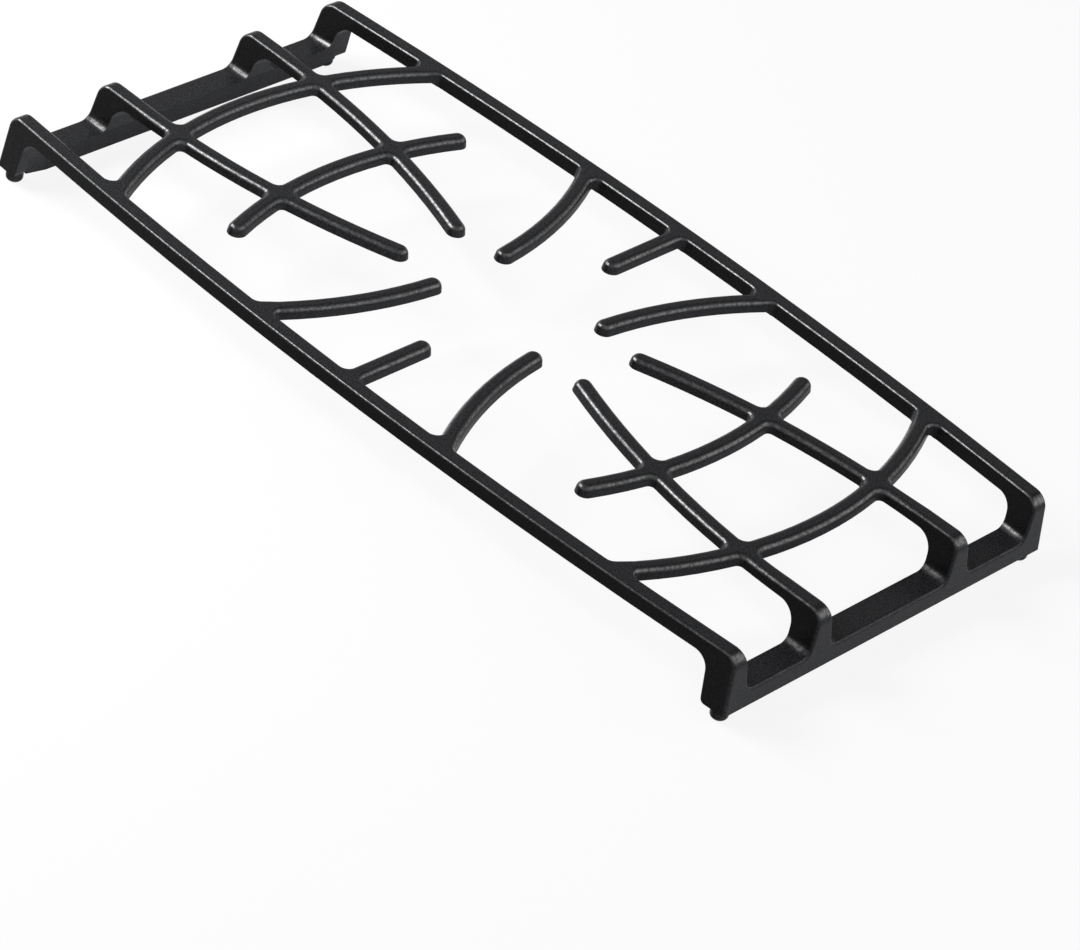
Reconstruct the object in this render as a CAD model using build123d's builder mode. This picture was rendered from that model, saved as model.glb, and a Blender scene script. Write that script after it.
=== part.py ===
from build123d import *
from math import radians, sqrt, tan
import os

# Cast-iron hob pan support: a long, narrow grate of bowed and curved bars on two end rails.
# Millimetres. X runs along the grate, Y across it, Z up. The origin is on the hob, under the middle.

os.makedirs("parts", exist_ok=True)

# Overall sizes
length = 440.0
height = 33.7

# Section of the bars
side_width = 7.5
side_depth = 6.5
inner_width = 7.1
inner_depth = 5.0
flank_draft = 10.0
outer_draft = 4.0
edge_bevel = 0.9
junction_radius = 3.5

# Side bars, bowed outwards in plan: offsets of their centrelines from the middle
side_mid_offset = 103.75
side_end_offset = 94.0
side_straight_end = 28.0

# Inner bars: straight from the legs, then bent towards each other up to their free tips
inner_offset = 43.0
inner_straight_end = 25.0
inner_bend_radius = 392.0
inner_tip_x = 55.9

# Arcs that cross the inner bars, bulging towards the ends: setback from the end and from each other
outer_arc_setback = 45.6
outer_arc_radius = 200.0
inner_arc_setback = 58.2
inner_arc_radius = 207.0
inner_arc_tip_offset = 67.0

# Curved fingers and short stubs on the side bars
finger_tip_x = 30.5
finger_tip_offset = 22.2
finger_root_x = 56.7
finger_radius = 198.0
stub_tip_offset = 58.6

# Legs at the ends of the side and inner bars
leg_depth = 12.3
leg_end_draft = 5.0
leg_inner_draft = 8.0
leg_corner_radius = 7.0
side_arch_radius = 7.5
inner_arch_radius = 9.0
toe_radius = 2.5

# Rails that tie the feet of the legs together
rail_height = 7.95
rail_inner_draft = 6.0
rail_blend_radius = 5.0

# Round feet under the corner legs
foot_diameter = 7.9
foot_height = 6.35
foot_edge_radius = 2.2

# Slack for finding edges by their place, and the least turn of an outline that counts as a corner
tolerance = 0.01
corner_angle = 8.0

# Levels
leg_bottom = foot_height
rail_top = leg_bottom + rail_height
side_underside = height - side_depth
inner_underside = height - inner_depth

# The bars are straight at their ends; they run past the legs' outer faces and are trimmed to them
half_length = length / 2
bar_end = half_length + side_width
bow_end = half_length - side_straight_end
inner_bend_x = half_length - inner_straight_end
outer_arc_apex = half_length - outer_arc_setback
inner_arc_apex = outer_arc_apex - inner_arc_setback
half_span = side_mid_offset + 2 * side_width

# The bars are drawn down to a level in the arches, and the legs are drawn on from the straight ends
bar_block = side_depth + side_arch_radius / 3
leg_flare = (height - leg_bottom) * tan(radians(flank_draft))
leg_start = half_length - min(side_straight_end, inner_straight_end) + leg_flare

# Roots end a little past the inner edges of the side bars
root_inset = side_width / 2 - inner_width / 3

# Feet under the middles of the corner legs
foot_x = half_length - leg_depth / 2

# The flanks of the side bars at their undersides and of the inner legs at their bottoms, with a margin
side_sagitta = side_mid_offset - side_end_offset
side_radius = (half_length**2 + side_sagitta**2) / (2 * side_sagitta)
relief_margin = 2.0
relief_reach = side_width / 2 + side_depth * tan(radians(flank_draft)) + relief_margin
arch_reach = inner_offset + inner_width / 2 + height * tan(radians(flank_draft)) + relief_margin


def side_offset(x):
    """Distance of a side bar's centreline from the middle, at x."""
    return side_mid_offset - side_radius + sqrt(side_radius**2 - x**2)


def arc_x(offset, apex, radius):
    """Place along the grate of a cross arc, at an offset from the middle."""
    return apex - radius + sqrt(radius**2 - offset**2)


def leg_outer_x(z):
    """Outer face of the legs and rails, at z."""
    return half_length - (z - leg_bottom) * tan(radians(leg_end_draft))


def leg_inner_x(z):
    """Inner face of the legs, at z."""
    return half_length - leg_depth - (z - leg_bottom) * tan(radians(leg_inner_draft))


def bow_face(shift, level):
    """The plan between two lines that keep a shift outside the side bars' centrelines, at a level."""
    with BuildSketch(Plane.XY.offset(level)) as face:
        with BuildLine():
            bow_ends = [(side * bow_end, side_offset(bow_end) + shift) for side in (-1, 1)]
            bow = ThreePointArc(bow_ends[0], (0, side_mid_offset + shift), bow_ends[1])
            first_end = Line(bow @ 0, bow @ 0 - (bow % 0) * half_length)
            last_end = Line(bow @ 1, bow @ 1 + (bow % 1) * half_length)
            for point in (first_end @ 1, last_end @ 1):
                Line(point, (point.X, 0))
            mirror(about=Plane.XZ)
        make_face()
    return face.sketch


def is_leg_corner(face):
    """True for the rounds between the pan plane and the outer faces of the legs."""
    return abs(face.center().X) > half_length - leg_depth and face.center().Z > side_underside


def is_end_face(face):
    """True for the outer faces of the legs and rails."""
    return face.normal_at().X * face.center().X > half_length - leg_depth


def is_corner(vertex, edges):
    """True where two outlines cross at an angle, false where one runs smoothly into the next."""
    point = Vector(*vertex)
    ends = [(edge, end) for edge in edges for end in (0, 1)]
    met = [edge.tangent_at(end) for edge, end in ends if (edge @ end - point).length < tolerance]
    turn = met[0].get_angle(met[1])
    return min(turn, 180 - turn) > corner_angle


# Centrelines in plan, each drawn once and mirrored as a bar
outer_arc_root = side_offset(arc_x(side_mid_offset, outer_arc_apex, outer_arc_radius)) - root_inset
outer_arc_root_x = arc_x(outer_arc_root, outer_arc_apex, outer_arc_radius)
inner_arc_tip_x = arc_x(inner_arc_tip_offset, inner_arc_apex, inner_arc_radius)
inner_bend_length = inner_bend_x - inner_tip_x
inner_bend_drop = inner_bend_radius - sqrt(inner_bend_radius**2 - inner_bend_length**2)
finger_root_offset = side_offset(finger_root_x) - root_inset

with BuildLine() as inner_bar:
    leg_run = Line((bar_end, inner_offset), (inner_bend_x, inner_offset))
    RadiusArc(leg_run @ 1, (inner_tip_x, inner_offset - inner_bend_drop), -inner_bend_radius)

with BuildLine() as outer_arc:
    outer_ends = [(outer_arc_root_x, side * outer_arc_root) for side in (-1, 1)]
    ThreePointArc(outer_ends[0], (outer_arc_apex, 0), outer_ends[1])

with BuildLine() as inner_arc:
    inner_ends = [(inner_arc_tip_x, side * inner_arc_tip_offset) for side in (-1, 1)]
    ThreePointArc(inner_ends[0], (inner_arc_apex, 0), inner_ends[1])

with BuildLine() as finger:
    RadiusArc((finger_tip_x, finger_tip_offset), (finger_root_x, finger_root_offset), finger_radius)

with BuildLine() as stub:
    Line((0, stub_tip_offset), (0, side_mid_offset - root_inset))

# Plan of all the bars on the pan plane, with fillets in every corner; the outsides are trimmed later
with BuildSketch(Plane.XY.offset(height)) as plan:
    Rectangle(2 * bar_end, 2 * half_span)
    add(bow_face(-side_width / 2, height), mode=Mode.SUBTRACT)
    for centreline in (inner_bar, outer_arc, inner_arc, finger, stub):
        SlotArc(centreline.wire(), inner_width)
    mirror(about=Plane.XZ)
    mirror(about=Plane.YZ)
    outlines = plan.edges()
    inside = [vertex for vertex in plan.vertices() if abs(vertex.X) < half_length]
    fillet([vertex for vertex in inside if is_corner(vertex, outlines)], junction_radius)

# Legs, as the straight ends of the bars drawn down to the rails' undersides
with BuildPart() as legs:
    with BuildSketch(Plane.XY.offset(height)) as leg_plan:
        add(plan.sketch)
        with Locations((leg_start, 0)):
            Rectangle(length, 2 * half_span, align=(Align.MIN, Align.CENTER), mode=Mode.INTERSECT)
        mirror(about=Plane.YZ)
    extrude(amount=leg_bottom - height, taper=-flank_draft)

# Everything within the side bars' outer flanks
with BuildPart() as envelope:
    extrude(bow_face(side_width / 2, height), amount=-height)
    draft(envelope.faces().filter_by(Axis.Z, reverse=True), Plane.XY.offset(height), outer_draft)

# Side view of a side bar with its two legs
with BuildSketch(Plane.XZ) as side_view:
    Polygon(
        (-leg_outer_x(height), height),
        (leg_outer_x(height), height),
        (half_length, leg_bottom),
        (leg_inner_x(leg_bottom), leg_bottom),
        (leg_inner_x(side_underside), side_underside),
        (-leg_inner_x(side_underside), side_underside),
        (-leg_inner_x(leg_bottom), leg_bottom),
        (-half_length, leg_bottom),
        align=None,
    )
    fillet(side_view.vertices().group_by(Axis.Y)[-1], leg_corner_radius)
    fillet(side_view.vertices().filter_by_position(Axis.Y, side_underside, side_underside), side_arch_radius)
    toes = side_view.vertices().group_by(Axis.Y)[0].filter_by(lambda toe: abs(toe.X) < foot_x)
    fillet(toes, toe_radius)

# Space under the inner bars, arcs and fingers, which are shallower than the side bars
with BuildPart() as relief:
    with BuildSketch(Plane.XZ) as inner_view:
        Polygon(
            (leg_inner_x(0), 0),
            (leg_inner_x(inner_underside), inner_underside),
            (-leg_inner_x(inner_underside), inner_underside),
            (-leg_inner_x(0), 0),
            align=None,
        )
        fillet(inner_view.vertices().group_by(Axis.Y)[-1], inner_arch_radius)
    extrude(amount=arch_reach, both=True)
    with BuildSketch(Plane.XY.offset(inner_underside)) as between_sides:
        add(bow_face(-relief_reach, inner_underside))
        Rectangle(2 * bow_end, 2 * half_span, mode=Mode.INTERSECT)
    extrude(amount=-inner_underside)

# Section of an end rail, flush with the legs outside, and inside along its upper edge
with BuildSketch(Plane.XZ) as rail_section:
    Polygon(
        (half_length, leg_bottom),
        (leg_outer_x(rail_top), rail_top),
        (leg_inner_x(rail_top), rail_top),
        (leg_inner_x(rail_top) - rail_height * tan(radians(rail_inner_draft)), leg_bottom),
        align=None,
    )
    mirror(about=Plane.YZ)

with BuildPart() as pan_support:
    # Bars and legs
    extrude(plan.sketch, amount=-bar_block)
    draft(pan_support.faces().filter_by(Axis.Z, reverse=True), Plane.XY.offset(height), flank_draft)
    add(legs.part)
    add(envelope.part, mode=Mode.INTERSECT)
    extrude(side_view.sketch, amount=half_span, both=True, mode=Mode.INTERSECT)
    add(relief.part, mode=Mode.SUBTRACT)

    # End rails, blended into the flanks of the legs
    extrude(rail_section.sketch, amount=side_end_offset, both=True)
    rail_edges = pan_support.edges().filter_by_position(Axis.Z, rail_top - tolerance, rail_top + tolerance)
    fillet(rail_edges.filter_by(Axis.Y, reverse=True), rail_blend_radius)

    # One bevelled edge that runs along the bars, over the corners, down the legs and along the rails
    pan_face = pan_support.faces().sort_by(Axis.Z)[-1]
    corner_faces = pan_support.faces().filter_by(GeomType.CYLINDER).filter_by(is_leg_corner)
    end_faces = pan_support.faces().filter_by(GeomType.PLANE).filter_by(is_end_face)
    skin_edges = [edge for face in (pan_face, *corner_faces, *end_faces) for edge in face.edges()]
    upper_edges = [edge for edge in skin_edges if edge.center().Z > leg_bottom + tolerance]
    chamfer([edge for edge in upper_edges if skin_edges.count(edge) == 1], edge_bevel)

    # Feet
    with GridLocations(2 * foot_x, 2 * side_offset(foot_x), 2, 2):
        foot_stem = leg_bottom + rail_height / 2
        Cylinder(foot_diameter / 2, foot_stem, align=(Align.CENTER, Align.CENTER, Align.MIN))
    fillet(pan_support.edges().group_by(Axis.Z)[0], foot_edge_radius)

pan_support.part.label = "pan_support"
export_step(pan_support.part, "parts/pan_support.step")
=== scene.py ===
"""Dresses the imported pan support.

A cast grate with rounded edges, in satin black enamel, on a white stage.
"""

from math import cos, radians, sin, tan
from typing import NamedTuple

import bmesh
import bpy
from mathutils import Matrix, Quaternion, Vector
from mathutils.kdtree import KDTree


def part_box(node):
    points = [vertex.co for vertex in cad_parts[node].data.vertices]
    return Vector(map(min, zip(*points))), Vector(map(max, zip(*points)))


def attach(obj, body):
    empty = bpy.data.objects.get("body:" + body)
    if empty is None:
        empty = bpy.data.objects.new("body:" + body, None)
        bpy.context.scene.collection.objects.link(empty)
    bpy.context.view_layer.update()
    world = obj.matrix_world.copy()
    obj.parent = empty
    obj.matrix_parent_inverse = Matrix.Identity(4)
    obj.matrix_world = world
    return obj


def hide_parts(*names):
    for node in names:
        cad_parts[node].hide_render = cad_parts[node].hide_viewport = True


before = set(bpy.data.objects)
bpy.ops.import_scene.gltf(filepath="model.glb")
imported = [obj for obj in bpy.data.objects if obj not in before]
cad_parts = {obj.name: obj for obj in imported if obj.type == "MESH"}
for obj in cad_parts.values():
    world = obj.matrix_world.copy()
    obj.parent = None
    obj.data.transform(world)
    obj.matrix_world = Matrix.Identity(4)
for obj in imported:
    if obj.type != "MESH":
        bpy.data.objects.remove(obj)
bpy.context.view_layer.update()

bl_info = {
    "name": "Pan Support",
    "version": (1, 0, 0),
    "blender": (4, 5, 0),
    "location": "3D View > Sidebar > Pan Support",
    "description": "Rounds and enamels a cast pan support and sets it on a white stage",
    "category": "Object",
}

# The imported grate, its box straight after loading, and the dressed grate
GRATE_NODE = "pan_support"
GRATE_BODY = "root"
PAN_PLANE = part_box(GRATE_NODE)[1].z
CASTING = "grate_casting"

# Frame of the photograph, in pixels, and the sensor that the lens is given for, in millimetres
IMAGE_WIDTH = 1080
IMAGE_HEIGHT = 950
SENSOR_WIDTH = 36.0

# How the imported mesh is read, in metres
LEVEL = 0.00001  # points that differ less in height are level
LINE_STEP = 0.00003  # distance between points on the corner line
RIM_MARGIN = 0.00005  # how much further the rim's round may reach
FLANK_MARGIN = 0.0002  # how much further the flanks may reach
END_ZONE = 0.2  # past this, from the short middle plane, are only legs and rails

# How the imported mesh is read, as shares of a face's normal
FACES_INWARD = 0.98  # the inner faces of legs and rails turn at least this much to the middle
BEVEL_TILT = (0.5, 0.9)  # the faces of the bevelled rim turn up by a share between these


class PanSupportCasting(bpy.types.PropertyGroup):
    """Sizes of the casting that its rounded edges, crowns and ramps are made from."""

    weld: bpy.props.FloatProperty(
        name="Weld",
        description="Points of the packed mesh that are closer than this are one point",
        default=0.000001,
        unit="LENGTH",
        precision=6,
    )
    flatness: bpy.props.FloatProperty(
        name="Flatness",
        description="Faces that turn by less than this are one flat face",
        default=radians(0.3),
        subtype="ANGLE",
    )
    rim_turn_low: bpy.props.FloatProperty(
        name="Least Rim Turn",
        description="Least turn of the surface at the two edges of the bevelled rim",
        default=radians(28.0),
        subtype="ANGLE",
    )
    rim_turn_high: bpy.props.FloatProperty(
        name="Greatest Rim Turn",
        description="Greatest turn of the surface at the two edges of the bevelled rim",
        default=radians(52.0),
        subtype="ANGLE",
    )
    rim_round: bpy.props.FloatProperty(
        name="Rim Round",
        description="Reach of the round at each edge of the bevelled rim",
        default=0.0006,
        unit="LENGTH",
        precision=5,
    )
    rim_steps: bpy.props.IntProperty(
        name="Rim Steps",
        description="Faces across each round",
        default=3,
        min=1,
        max=6,
    )
    rim_bevel: bpy.props.FloatProperty(
        name="Rim Bevel",
        description="Reach of the packed rim's bevel on each face",
        default=0.0009,
        unit="LENGTH",
        precision=5,
    )
    bar_round: bpy.props.FloatProperty(
        name="Bar Round",
        description="Reach of the round that crowns the inner bars, the arcs, the fingers and the stubs",
        default=0.0026,
        unit="LENGTH",
        precision=5,
    )
    bar_depth: bpy.props.FloatProperty(
        name="Bar Depth",
        description="Depth of the inner bars under the pan plane",
        default=0.005,
        unit="LENGTH",
        precision=5,
    )
    side_edge: bpy.props.FloatProperty(
        name="Side Bar Edge",
        description="Inner edge of the side bars, from the long middle plane at the middle of the grate",
        default=0.1,
        unit="LENGTH",
    )
    side_bow: bpy.props.FloatProperty(
        name="Side Bar Bow",
        description="Radius to which the side bars are bowed",
        default=2.487,
        unit="LENGTH",
    )
    side_ease: bpy.props.FloatProperty(
        name="Side Ease",
        description="Length over which the crown fades out towards a side bar",
        default=0.006,
        unit="LENGTH",
    )
    side_depth: bpy.props.FloatProperty(
        name="Side Bar Depth",
        description="Depth of the side bars under the pan plane",
        default=0.0065,
        unit="LENGTH",
        precision=5,
    )
    root_edge: bpy.props.FloatProperty(
        name="Root Edge",
        description="Lower inner edge of the side bars, measured as their inner edge is",
        default=0.09885,
        unit="LENGTH",
        precision=5,
    )
    root_reach: bpy.props.FloatProperty(
        name="Root Reach",
        description="Length over which the underside rises at the root of an arc, a finger or a stub",
        default=0.002,
        unit="LENGTH",
        precision=5,
    )
    root_rise: bpy.props.FloatProperty(
        name="Root Rise",
        description="Height by which the underside rises there",
        default=0.0013,
        unit="LENGTH",
        precision=5,
    )
    crown_end: bpy.props.FloatProperty(
        name="Crown End",
        description="Distance from the short middle plane at which the crown has faded out",
        default=0.202,
        unit="LENGTH",
    )
    end_ease: bpy.props.FloatProperty(
        name="End Ease",
        description="Length over which the crown fades out towards the legs",
        default=0.022,
        unit="LENGTH",
    )
    rail_end: bpy.props.FloatProperty(
        name="Rail End",
        description="Distance of the packed rails' ends from the long middle plane",
        default=0.094,
        unit="LENGTH",
    )
    rail_ease: bpy.props.FloatProperty(
        name="Rail Ease",
        description="Length over which a rail's lower edge runs into the corner leg",
        default=0.01,
        unit="LENGTH",
    )
    toe_reach: bpy.props.FloatProperty(
        name="Toe Reach",
        description="Distance of the legs' inner faces from the short middle plane, at their toes",
        default=0.2076,
        unit="LENGTH",
        precision=4,
    )
    crease: bpy.props.FloatProperty(
        name="Crease",
        description="Edges that turn by more than this stay sharp",
        default=radians(50.0),
        subtype="ANGLE",
    )


class PanSupportEnamel(bpy.types.PropertyGroup):
    """Colour, with painted light and shade by facing, gloss and grain of the enamel on the casting."""

    deep_black: bpy.props.FloatVectorProperty(
        name="Deep Black",
        description="Colour in the pits of the grain",
        default=(0.002, 0.002, 0.0022),
        size=3,
        min=0.0,
        max=1.0,
        subtype="COLOR",
    )
    grey_black: bpy.props.FloatVectorProperty(
        name="Grey Black",
        description="Colour on the tops of the grain, on the pan plane",
        default=(0.0315, 0.0322, 0.035),
        size=3,
        min=0.0,
        max=1.0,
        subtype="COLOR",
    )
    # Painted shade: the flanks get a darker colour than the pan plane, standing in for the shade that falls
    # on them
    flank_painted_shade: bpy.props.FloatProperty(
        name="Flank Grey",
        description="Grey of the long flanks, with that of the pan plane as one",
        default=0.25,
        min=0.0,
        max=1.0,
        subtype="FACTOR",
    )
    # Painted light: faces towards the ends get a lighter colour, up to above the pan plane's, standing in
    # for light falling on them
    end_painted_light: bpy.props.FloatProperty(
        name="End Grey",
        description="Grey of the faces towards the ends, with that of the pan plane as one",
        default=3.2,
        min=0.0,
        max=4.0,
    )
    gloss_rough: bpy.props.FloatProperty(
        name="Least Roughness",
        description="Roughness of the smoothest patches",
        default=0.2,
        min=0.0,
        max=1.0,
        subtype="FACTOR",
    )
    matt_rough: bpy.props.FloatProperty(
        name="Greatest Roughness",
        description="Roughness of the dullest patches",
        default=0.3,
        min=0.0,
        max=1.0,
        subtype="FACTOR",
    )
    specular: bpy.props.FloatProperty(
        name="Specular Level",
        description="Strength of the enamel's mirror reflection",
        default=0.04,
        min=0.0,
        max=1.0,
        subtype="FACTOR",
    )
    shoulder_gloss: bpy.props.FloatProperty(
        name="Shoulder Gloss",
        description="Weight of the glossy skin on the rounded shoulders",
        default=1.0,
        min=0.0,
        max=1.0,
        subtype="FACTOR",
    )
    shoulder_rough: bpy.props.FloatProperty(
        name="Shoulder Roughness",
        description="Roughness of the glossy skin on the rounded shoulders",
        default=0.22,
        min=0.0,
        max=1.0,
        subtype="FACTOR",
    )
    shoulder_index: bpy.props.FloatProperty(
        name="Shoulder Index",
        description="Refractive index of the glossy skin on the rounded shoulders",
        default=1.65,
        min=1.0,
        max=3.0,
    )
    rail_gloss: bpy.props.FloatProperty(
        name="Rail Gloss",
        description="Share of the shoulders' gloss that the rails' outer edges have",
        default=0.3,
        min=0.0,
        max=1.0,
        subtype="FACTOR",
    )
    rail_gloss_end: bpy.props.FloatProperty(
        name="Rail Gloss End",
        description="Distance along the grate at which the slanting bound of the duller edges meets the hob",
        default=0.2055,
        unit="LENGTH",
        precision=4,
    )
    speckle_size: bpy.props.FloatProperty(
        name="Speckle Size",
        description="Width of the specks that break up the gloss of the shoulders",
        default=0.0014,
        unit="LENGTH",
        precision=5,
    )
    grain_size: bpy.props.FloatProperty(
        name="Grain Size",
        description="Width of one grain of the cast skin",
        default=0.0006,
        unit="LENGTH",
        precision=5,
    )
    grain_depth: bpy.props.FloatProperty(
        name="Grain Depth",
        description="Height of the grain",
        default=0.00006,
        unit="LENGTH",
        precision=6,
    )
    ripple_size: bpy.props.FloatProperty(
        name="Ripple Size",
        description="Width of the slow waves in the cast skin",
        default=0.006,
        unit="LENGTH",
        precision=5,
    )
    ripple_depth: bpy.props.FloatProperty(
        name="Ripple Depth",
        description="Height of the slow waves",
        default=0.00008,
        unit="LENGTH",
        precision=6,
    )


class PanSupportStage(bpy.types.PropertyGroup):
    """Camera, floor and even light."""

    azimuth: bpy.props.FloatProperty(
        name="Azimuth",
        description="Turn of the camera round the grate, from its long side",
        default=radians(36.479),
        subtype="ANGLE",
    )
    elevation: bpy.props.FloatProperty(
        name="Elevation",
        description="Height of the camera over the pan plane, as an angle",
        default=radians(36.023),
        subtype="ANGLE",
    )
    roll: bpy.props.FloatProperty(
        name="Roll",
        description="Turn of the camera about its own axis",
        default=radians(13.329),
        subtype="ANGLE",
    )
    distance: bpy.props.FloatProperty(
        name="Distance",
        description="Depth of the middle of the pan plane in front of the camera",
        default=2.0601,
        unit="LENGTH",
    )
    lens: bpy.props.FloatProperty(
        name="Lens",
        description="Focal length in millimetres",
        default=161.82,
    )
    middle_across: bpy.props.FloatProperty(
        name="Middle Across",
        description="Pixel column of the middle of the pan plane",
        default=519.93,
    )
    middle_down: bpy.props.FloatProperty(
        name="Middle Down",
        description="Pixel row of the middle of the pan plane",
        default=300.69,
    )
    floor_size: bpy.props.FloatProperty(
        name="Floor Size",
        description="Length of the square floor",
        default=8.0,
        unit="LENGTH",
    )
    floor_white: bpy.props.FloatVectorProperty(
        name="Floor White",
        description="Colour of the floor",
        default=(0.9, 0.9, 0.9),
        size=3,
        min=0.0,
        max=1.0,
        subtype="COLOR",
    )
    floor_glow: bpy.props.FloatProperty(
        name="Floor Glow",
        description="Share of the floor's white that the camera sees whatever falls on it",
        default=0.88,
        min=0.0,
        max=1.0,
        subtype="FACTOR",
    )
    sky_light: bpy.props.FloatProperty(
        name="Sky Light",
        description="Strength of the even light from all round",
        default=0.12,
    )


class Softbox(NamedTuple):
    """A rectangular lamp that faces the middle of the grate."""

    name: str
    direction: tuple  # from the middle of the grate
    distance: float
    width: float
    height: float
    turn: float  # about the direction
    power: float


def settings(name):
    """One group of the settings that the panel shows."""
    return getattr(bpy.context.scene, name)


def from_bow(point, sizes):
    """Distance from the long middle plane, as if the side bars were straight."""
    return abs(point.y) + point.x ** 2 / (2.0 * sizes.side_bow)


def eased(share):
    """A share held between none and all, with soft ends."""
    share = min(1.0, max(0.0, share))
    return share * share * (3.0 - 2.0 * share)


def width_across(face):
    """Width of a face across the grate."""
    across = [vert.co.y for vert in face.verts]
    return max(across) - min(across)


def put(tree, value, socket):
    """Links an output to a socket, or sets a number on it."""
    if isinstance(value, bpy.types.NodeSocket):
        tree.links.new(value, socket)
    else:
        socket.default_value = value


def reckon(tree, operation, *values):
    """Result of one step of arithmetic."""
    node = tree.nodes.new("ShaderNodeMath")
    node.operation = operation
    for value, socket in zip(values, node.inputs):
        put(tree, value, socket)
    return node.outputs["Value"]


def ranged(tree, value, before, after=(0.0, 1.0), clamp=True):
    """A value taken from one range to another."""
    node = tree.nodes.new("ShaderNodeMapRange")
    node.clamp = clamp
    tree.links.new(value, node.inputs["Value"])
    node.inputs["From Min"].default_value, node.inputs["From Max"].default_value = before
    node.inputs["To Min"].default_value, node.inputs["To Max"].default_value = after
    return node.outputs["Result"]


def parted(tree, vector):
    """The three parts of a vector."""
    node = tree.nodes.new("ShaderNodeSeparateXYZ")
    tree.links.new(vector, node.inputs["Vector"])
    return node.outputs


class PANSUPPORT_OT_casting(bpy.types.Operator):
    """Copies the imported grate, rounds its bevelled rim, crowns its inner bars and eases their roots"""

    bl_idname = "pan_support.casting"
    bl_label = "Round the Casting"
    bl_options = {"REGISTER", "UNDO"}

    def execute(self, context):
        sizes = settings("pan_support_casting")
        casting = self.copy_grate(context)

        # One closed skin, with each flat face in one piece
        bpy.ops.mesh.customdata_custom_splitnormals_clear()
        bpy.ops.object.mode_set(mode="EDIT")
        bpy.ops.mesh.select_all(action="SELECT")
        bpy.ops.mesh.remove_doubles(threshold=sizes.weld)
        bpy.ops.mesh.dissolve_limited(angle_limit=sizes.flatness)

        self.close_rail_ends(casting, sizes)
        self.ease_roots(casting, sizes)

        # Both edges of the bevelled rim, which runs on over the legs and along the rails
        bpy.ops.mesh.select_mode(type="EDGE")
        bpy.ops.mesh.select_all(action="DESELECT")
        skin = bmesh.from_edit_mesh(casting.data)
        rim = [
            edge for edge in skin.edges
            if sizes.rim_turn_low < edge.calc_face_angle() < sizes.rim_turn_high
        ]
        if not rim:
            raise RuntimeError("the packed grate has no bevelled rim")
        for edge in rim:
            edge.select = True
        corner_line = self.corner_line(rim, sizes)
        bmesh.update_edit_mesh(casting.data)
        bpy.ops.mesh.bevel(
            offset=sizes.rim_round,
            segments=sizes.rim_steps,
            affect="EDGES",
            clamp_overlap=False,
            loop_slide=False,
        )
        self.crown_bars(casting, corner_line, sizes)
        bpy.ops.object.mode_set(mode="OBJECT")

        # Flat faces shade flat and the rounds between them shade smoothly
        bpy.ops.object.shade_smooth_by_angle(angle=sizes.crease)
        weighting = casting.modifiers.new("Even Flats", "WEIGHTED_NORMAL")
        weighting.keep_sharp = True
        bpy.ops.object.modifier_apply(modifier=weighting.name)

        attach(casting, GRATE_BODY)
        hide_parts(GRATE_NODE)
        return {"FINISHED"}

    @staticmethod
    def copy_grate(context):
        """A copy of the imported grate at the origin, without the node's own marks."""
        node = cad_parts[GRATE_NODE]
        bpy.ops.object.select_all(action="DESELECT")
        node.select_set(True)
        context.view_layer.objects.active = node
        bpy.ops.object.duplicate()
        casting = context.object
        casting.parent = None
        casting.matrix_world = Matrix.Identity(4)
        casting.name = CASTING
        casting.data.name = CASTING
        for key in list(casting.keys()):
            del casting[key]
        return casting

    @staticmethod
    def close_rail_ends(casting, sizes):
        """Runs the lower inner edge of each rail into the inner faces of the corner legs."""
        for end in (-1.0, 1.0):
            for side in (-1.0, 1.0):
                # The rail's inner face, cut where its lower edge starts to turn
                bpy.ops.mesh.select_mode(type="FACE")
                bpy.ops.mesh.select_all(action="DESELECT")
                skin = bmesh.from_edit_mesh(casting.data)
                inward = [
                    face for face in skin.faces
                    if face.normal.x * end < -FACES_INWARD
                    and face.calc_center_median().x * end > END_ZONE
                ]
                if not inward:
                    raise RuntimeError("the packed grate has no end rails")
                max(inward, key=width_across).select = True
                bmesh.update_edit_mesh(casting.data)
                bpy.ops.mesh.bisect(
                    plane_co=(0.0, side * (sizes.rail_end - sizes.rail_ease), 0.0),
                    plane_no=(0.0, 1.0, 0.0),
                )

                # The lowest inner point of the rail's end, moved to the leg's inner face
                skin = bmesh.from_edit_mesh(casting.data)
                last = [
                    vert for vert in skin.verts
                    if abs(vert.co.y * side - sizes.rail_end) < sizes.weld
                    and vert.co.x * end > END_ZONE
                ]
                if not last:
                    raise RuntimeError("the packed rails don't end where the settings say")
                lowest = min(vert.co.z for vert in last)
                low = [vert for vert in last if vert.co.z < lowest + LEVEL]
                toe = min(low, key=lambda vert: abs(vert.co.x))
                toe.co.x = end * sizes.toe_reach
                bmesh.update_edit_mesh(casting.data)

    @staticmethod
    def ease_roots(casting, sizes):
        """Turns the steps under the roots of the arcs, the fingers and the stubs into ramps."""
        skin = bmesh.from_edit_mesh(casting.data)
        underside = PAN_PLANE - sizes.side_depth
        for vert in skin.verts:
            if abs(vert.co.z - underside) > LEVEL or abs(vert.co.x) > sizes.crown_end:
                continue
            inside = sizes.root_edge - from_bow(vert.co, sizes)
            vert.co.z += sizes.root_rise * eased(inside / sizes.root_reach)
        bmesh.update_edit_mesh(casting.data)

    @staticmethod
    def corner_line(rim, sizes):
        """Points close together on the sharp corner that the rim's bevel cut off along the pan plane."""
        least_tilt, greatest_tilt = BEVEL_TILT
        points = []
        for edge in rim:
            if any(abs(vert.co.z - PAN_PLANE) > sizes.weld for vert in edge.verts):
                continue
            ends = []
            for vert in edge.verts:
                out = Vector((0.0, 0.0, 0.0))
                for face in vert.link_faces:
                    if least_tilt < face.normal.z < greatest_tilt:
                        out += Vector((face.normal.x, face.normal.y, 0.0)).normalized()
                out.normalize()
                ends.append((vert.co + out * sizes.rim_bevel, out))

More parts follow.
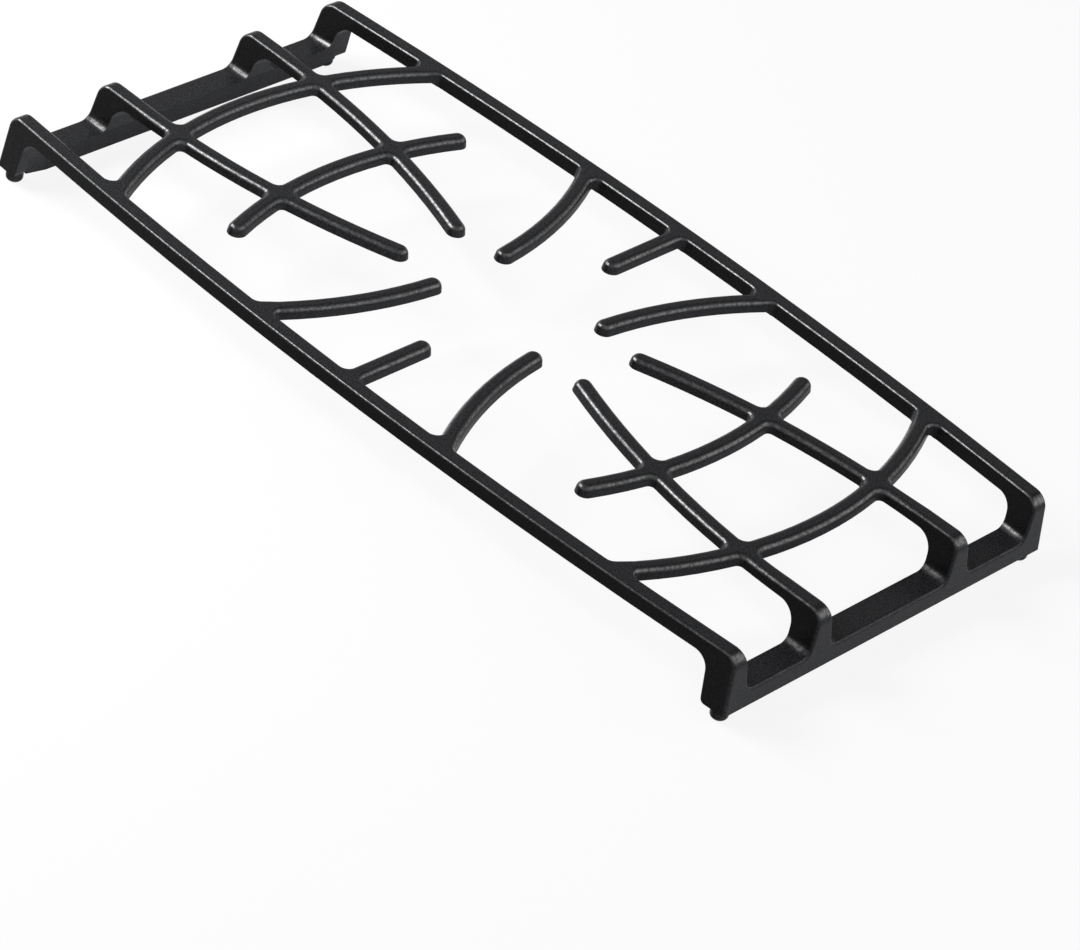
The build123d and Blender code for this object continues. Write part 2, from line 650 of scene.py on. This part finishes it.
            # Between the two ends the line bulges as a shallow arc does
            (start, out_a), (stop, out_b) = ends
            run = stop - start
            bulge = 2.0 * run.length * tan(out_a.angle(out_b) / 4.0)
            if (out_b - out_a).dot(run) < 0.0:
                bulge = -bulge
            count = max(1, round(run.length / LINE_STEP))
            for step in range(count + 1):
                share = step / count
                out = out_a.lerp(out_b, share).normalized()
                points.append(start.lerp(stop, share) + out * bulge * share * (1.0 - share))
        line = KDTree(len(points))
        for index, point in enumerate(points):
            line.insert(point, index)
        line.balance()
        return line

    @staticmethod
    def crown_bars(casting, corner_line, sizes):
        """Widens the rounds of the bars between the side bars, and fits their flanks to them."""
        skin = bmesh.from_edit_mesh(casting.data)
        depth = sizes.bar_depth
        rim_reach = sizes.rim_bevel + sizes.rim_round
        for vert in skin.verts:
            if vert.co.z < PAN_PLANE - depth + LEVEL:
                continue
            corner, _, reach = corner_line.find(vert.co)
            off_side = (sizes.side_edge - from_bow(corner, sizes)) / sizes.side_ease
            off_end = (sizes.crown_end - abs(corner.x)) / sizes.end_ease
            crown = eased(off_side) * eased(off_end)
            if crown == 0.0 or reach > depth + FLANK_MARGIN:
                continue
            wide = rim_reach + (sizes.bar_round - rim_reach) * crown
            if reach < rim_reach + RIM_MARGIN:
                longer = wide / rim_reach
            else:
                below = (reach - rim_reach) / (depth - rim_reach)
                longer = (wide + below * (depth - wide)) / reach
            vert.co = corner + (vert.co - corner) * longer
        bmesh.update_edit_mesh(casting.data)


class PANSUPPORT_OT_enamel(bpy.types.Operator):
    """Gives the casting its satin black enamel over a fine cast grain"""

    bl_idname = "pan_support.enamel"
    bl_label = "Enamel the Casting"
    bl_options = {"REGISTER", "UNDO"}

    # Noise: its roughness, and its detail, fine for grain and patches, coarse for specks and ripples
    NOISE_ROUGHNESS = 0.6
    FINE = 3.0
    COARSE = 2.0

    # Levels of the noise over which pits turn into tops, smooth into dull, and dull specks into gloss
    GRAIN_LEVELS = (0.35, 0.65)
    PATCH_LEVELS = (0.3, 0.7)
    SPECK_LEVELS = (0.4, 0.6)

    # Width of a patch in ripples, and the share of the gloss that the dull specks keep
    PATCH_RIPPLES = 5.0
    DULL_SPECK = 0.4

    # Shares of a face's normal over which the painted shade of the flanks turns into the colour of the pan
    # plane
    PAINTED_SHADE_TURN = (0.2, 0.95)

    # Gloss of a shoulder at each upward share of its normal
    SHOULDER_STOPS = ((0.42, 0.0), (0.62, 1.0), (0.8, 1.0), (0.94, 0.0))

    # The line outside which the rails' edges are duller: its run for each rise, and its width
    RAIL_SLANT = 0.6
    RAIL_FADE = 0.001

    def execute(self, context):
        look = settings("pan_support_enamel")
        enamel = bpy.data.materials.new("satin_black_enamel")
        enamel.use_nodes = True
        tree = enamel.node_tree
        shader = tree.nodes["Principled BSDF"]
        shader.inputs["Specular IOR Level"].default_value = look.specular
        shader.inputs["Coat Roughness"].default_value = look.shoulder_rough
        shader.inputs["Coat IOR"].default_value = look.shoulder_index

        coordinates = tree.nodes.new("ShaderNodeTexCoord")
        place = coordinates.outputs["Object"]
        facing = parted(tree, coordinates.outputs["Normal"])
        grain = self.noise(tree, place, "Grain", look.grain_size, self.FINE)
        speckle = self.noise(tree, place, "Speckle", look.speckle_size, self.COARSE)
        ripple = self.noise(tree, place, "Ripple", look.ripple_size, self.COARSE)
        cloud = self.noise(tree, place, "Cloud", self.PATCH_RIPPLES * look.ripple_size, self.FINE)

        # Smoother and duller patches
        rough = ranged(tree, cloud, self.PATCH_LEVELS, (look.gloss_rough, look.matt_rough))
        tree.links.new(rough, shader.inputs["Roughness"])
        # Base colour: the grain, with painted shade on the flanks and painted light on the pan plane and the
        # ends
        colour = self.colour(tree, look, grain, facing)
        tree.links.new(colour, shader.inputs["Base Color"])
        gloss = self.shoulder_gloss(tree, look, speckle, facing, parted(tree, place))
        tree.links.new(gloss, shader.inputs["Coat Weight"])

        # Grain on slow ripples
        waves = self.bump(tree, ripple, look.ripple_depth)
        skin = self.bump(tree, grain, look.grain_depth)
        tree.links.new(waves.outputs["Normal"], skin.inputs["Normal"])
        tree.links.new(skin.outputs["Normal"], shader.inputs["Normal"])

        casting = bpy.data.objects[CASTING]
        casting.data.materials.clear()
        casting.data.materials.append(enamel)
        return {"FINISHED"}

    def noise(self, tree, place, label, size, detail):
        """Noise over the casting whose features are a size wide."""
        texture = tree.nodes.new("ShaderNodeTexNoise")
        texture.label = label
        texture.inputs["Scale"].default_value = 1.0 / size
        texture.inputs["Detail"].default_value = detail
        texture.inputs["Roughness"].default_value = self.NOISE_ROUGHNESS
        tree.links.new(place, texture.inputs["Vector"])
        return texture.outputs["Fac"]

    @staticmethod
    def bump(tree, height, depth):
        """A relief on the skin."""
        relief = tree.nodes.new("ShaderNodeBump")
        relief.inputs["Distance"].default_value = depth
        tree.links.new(height, relief.inputs["Height"])
        return relief

    def colour(self, tree, look, grain, facing):
        """Black in the pits of the grain and grey on its tops, with painted shade on the flanks and painted
        light on the pan plane and the ends.
        """
        # Painted light and shade: lighter where a face points up or towards the ends, darker on the flanks,
        # by facing alone
        endwise = reckon(tree, "ABSOLUTE", facing["X"])
        painted_end_share = reckon(tree, "MULTIPLY", endwise, look.end_painted_light)
        painted_light_facing = reckon(tree, "MAXIMUM", facing["Z"], painted_end_share)
        grey = ranged(tree, painted_light_facing, self.PAINTED_SHADE_TURN, (look.flank_painted_shade, 1.0), clamp=False)

        # The grain shows less on the faces towards the ends
        tops = tree.nodes.new("ShaderNodeMix")
        tree.links.new(endwise, tops.inputs["Factor"])
        tree.links.new(ranged(tree, grain, self.GRAIN_LEVELS), tops.inputs["A"])
        tree.links.new(grain, tops.inputs["B"])

        tint = tree.nodes.new("ShaderNodeMix")
        tint.data_type = "RGBA"
        tint.clamp_factor = False
        tint.inputs["A"].default_value = (*look.deep_black, 1.0)
        tint.inputs["B"].default_value = (*look.grey_black, 1.0)
        # The grain's share, scaled by the painted light and shade
        share = reckon(tree, "MULTIPLY", tops.outputs["Result"], grey)
        tree.links.new(share, tint.inputs["Factor"])
        return tint.outputs["Result"]

    def shoulder_gloss(self, tree, look, speckle, facing, spot):
        """A glossy skin on the shoulders, which face neither up nor sideways, broken up by specks."""
        shoulder = tree.nodes.new("ShaderNodeValToRGB")
        stops = shoulder.color_ramp.elements
        first, *inner, last = self.SHOULDER_STOPS
        for position, level in inner:
            stops.new(position).color = (level, level, level, 1.0)
        for stop, (position, level) in ((stops[0], first), (stops[len(inner) + 1], last)):
            stop.position = position
            stop.color = (level, level, level, 1.0)
        tree.links.new(facing["Z"], shoulder.inputs["Fac"])
        dull = self.DULL_SPECK * look.shoulder_gloss
        specks = ranged(tree, speckle, self.SPECK_LEVELS, (dull, look.shoulder_gloss))
        gloss = reckon(tree, "MULTIPLY", shoulder.outputs["Color"], specks)

        # Duller on the rails' outer edges, which lie low and far out
        outward = reckon(tree, "ABSOLUTE", spot["X"])
        low_outside = reckon(tree, "MULTIPLY_ADD", spot["Z"], -self.RAIL_SLANT, outward)
        fade = (look.rail_gloss_end, look.rail_gloss_end + self.RAIL_FADE)
        off_rails = ranged(tree, low_outside, fade, (1.0, look.rail_gloss))
        return reckon(tree, "MULTIPLY", gloss, off_rails)


class PANSUPPORT_OT_stage(bpy.types.Operator):
    """Sets up the white floor, the softboxes and the camera of the photograph"""

    bl_idname = "pan_support.stage"
    bl_label = "Set the Stage"
    bl_options = {"REGISTER", "UNDO"}

    # Two lamps for the edges towards the left, and a wide one for the ends on the right
    LAMPS = (
        Softbox(
            name="left_softbox",
            direction=(-0.53, -0.55, 0.64),
            distance=1.15,
            width=0.5,
            height=0.36,
            turn=radians(-60.0),
            power=9.5,
        ),
        Softbox(
            name="far_softbox",
            direction=(-0.82, -0.32, 0.46),
            distance=1.15,
            width=0.5,
            height=0.36,
            turn=radians(-60.0),
            power=8.5,
        ),
        Softbox(
            name="right_softbox",
            direction=(0.65, 0.42, 0.6),
            distance=1.6,
            width=1.7,
            height=1.1,
            turn=radians(-31.5),
            power=8.0,
        ),
    )

    def execute(self, context):
        stage = settings("pan_support_stage")
        self.add_floor(context, stage)
        self.add_sky(context, stage)
        for softbox in self.LAMPS:
            self.add_lamp(context, softbox)
        self.add_camera(context, stage)
        context.scene.view_settings.view_transform = "Standard"
        return {"FINISHED"}

    @staticmethod
    def seen_rays(tree):
        """One for what the camera sees, directly, mirrored or through glass."""
        path = tree.nodes.new("ShaderNodeLightPath")
        seen = path.outputs["Is Camera Ray"]
        for name in ("Is Glossy Ray", "Is Transmission Ray"):
            seen = reckon(tree, "MAXIMUM", seen, path.outputs[name])
        return seen

    def add_floor(self, context, stage):
        """A pale floor that keeps the shadow of the grate."""
        bpy.ops.object.select_all(action="DESELECT")
        bpy.ops.mesh.primitive_plane_add(size=stage.floor_size)
        floor = context.object
        floor.name = "floor"
        paint = bpy.data.materials.new("floor_white")
        paint.use_nodes = True
        tree = paint.node_tree
        nodes = tree.nodes
        links = tree.links
        nodes.remove(nodes["Principled BSDF"])
        matt = nodes.new("ShaderNodeBsdfDiffuse")
        matt.inputs["Color"].default_value = (*stage.floor_white, 1.0)

        # What the camera sees: mostly glow, and for the rest lit paint, which takes the shadow
        unlit = 1.0 - stage.floor_glow
        dim = nodes.new("ShaderNodeBsdfDiffuse")
        dim.inputs["Color"].default_value = (*[part * unlit for part in stage.floor_white], 1.0)
        glow = nodes.new("ShaderNodeEmission")
        glow.inputs["Strength"].default_value = stage.floor_glow
        lit = nodes.new("ShaderNodeAddShader")
        links.new(dim.outputs["BSDF"], lit.inputs[0])
        links.new(glow.outputs["Emission"], lit.inputs[1])
        either = nodes.new("ShaderNodeMixShader")
        links.new(self.seen_rays(tree), either.inputs["Fac"])
        links.new(matt.outputs["BSDF"], either.inputs[1])
        links.new(lit.outputs["Shader"], either.inputs[2])
        links.new(either.outputs["Shader"], nodes["Material Output"].inputs["Surface"])
        floor.data.materials.append(paint)

    def add_sky(self, context, stage):
        """An even light from all round, which the camera and mirrors see as white."""
        sky = bpy.data.worlds.new("white_sky")
        context.scene.world = sky
        sky.use_nodes = True
        tree = sky.node_tree
        background = tree.nodes["Background"]
        background.inputs["Color"].default_value = (1.0, 1.0, 1.0, 1.0)
        strength = ranged(tree, self.seen_rays(tree), (0.0, 1.0), (stage.sky_light, 1.0))
        tree.links.new(strength, background.inputs["Strength"])

    @staticmethod
    def add_lamp(context, softbox):
        """A lamp that faces the middle of the grate."""
        towards = Vector(softbox.direction).normalized()
        facing = towards.to_track_quat("Z", "Y") @ Quaternion((0.0, 0.0, 1.0), softbox.turn)
        bpy.ops.object.light_add(type="AREA", location=towards * softbox.distance)
        lamp = context.object
        lamp.name = softbox.name
        lamp.rotation_euler = facing.to_euler()
        lamp.data.shape = "RECTANGLE"
        lamp.data.size = softbox.width
        lamp.data.size_y = softbox.height
        lamp.data.energy = softbox.power

    @staticmethod
    def add_camera(context, stage):
        """The camera of the photograph, placed by the pixel of the middle of the pan plane."""
        right = Vector((cos(stage.azimuth), sin(stage.azimuth), 0.0))
        back = Vector((
            sin(stage.azimuth) * cos(stage.elevation),
            -cos(stage.azimuth) * cos(stage.elevation),
            sin(stage.elevation),
        ))
        up = back.cross(right)
        rolled_right = right * cos(stage.roll) + up * sin(stage.roll)
        rolled_up = up * cos(stage.roll) - right * sin(stage.roll)
        pixel = stage.distance * SENSOR_WIDTH / (stage.lens * IMAGE_WIDTH)
        across = (stage.middle_across - IMAGE_WIDTH / 2) * pixel
        down = (stage.middle_down - IMAGE_HEIGHT / 2) * pixel
        place = Vector((0.0, 0.0, PAN_PLANE)) + back * stage.distance
        place += rolled_up * down - rolled_right * across
        bpy.ops.object.camera_add(location=place)
        camera = context.object
        camera.name = "photo_camera"
        camera.rotation_euler = Matrix((rolled_right, rolled_up, back)).transposed().to_euler()
        camera.data.sensor_fit = "HORIZONTAL"
        camera.data.sensor_width = SENSOR_WIDTH
        camera.data.lens = stage.lens
        context.scene.camera = camera


class PANSUPPORT_PT_sidebar(bpy.types.Panel):
    """Steps and settings of the pan support"""

    bl_idname = "PANSUPPORT_PT_sidebar"
    bl_label = "Pan Support"
    bl_space_type = "VIEW_3D"
    bl_region_type = "UI"
    bl_category = "Pan Support"

    def draw(self, context):
        for step, group in STEPS:
            box = self.layout.box()
            box.operator(step.bl_idname)
            values = getattr(context.scene, group)
            for name in values.__annotations__:
                box.prop(values, name)


# Each step with the group of settings that it reads
STEPS = (
    (PANSUPPORT_OT_casting, "pan_support_casting"),
    (PANSUPPORT_OT_enamel, "pan_support_enamel"),
    (PANSUPPORT_OT_stage, "pan_support_stage"),
)
GROUPS = {
    "pan_support_casting": PanSupportCasting,
    "pan_support_enamel": PanSupportEnamel,
    "pan_support_stage": PanSupportStage,
}
CLASSES = (*GROUPS.values(), *(step for step, _ in STEPS), PANSUPPORT_PT_sidebar)


def register():
    for cls in CLASSES:
        bpy.utils.register_class(cls)
    for name, group in GROUPS.items():
        setattr(bpy.types.Scene, name, bpy.props.PointerProperty(type=group))


def unregister():
    for name in GROUPS:
        delattr(bpy.types.Scene, name)
    for cls in reversed(CLASSES):
        bpy.utils.unregister_class(cls)


def main():
    register()
    bpy.ops.pan_support.casting()
    bpy.ops.pan_support.enamel()
    bpy.ops.pan_support.stage()


if __name__ == "__main__":
    main()
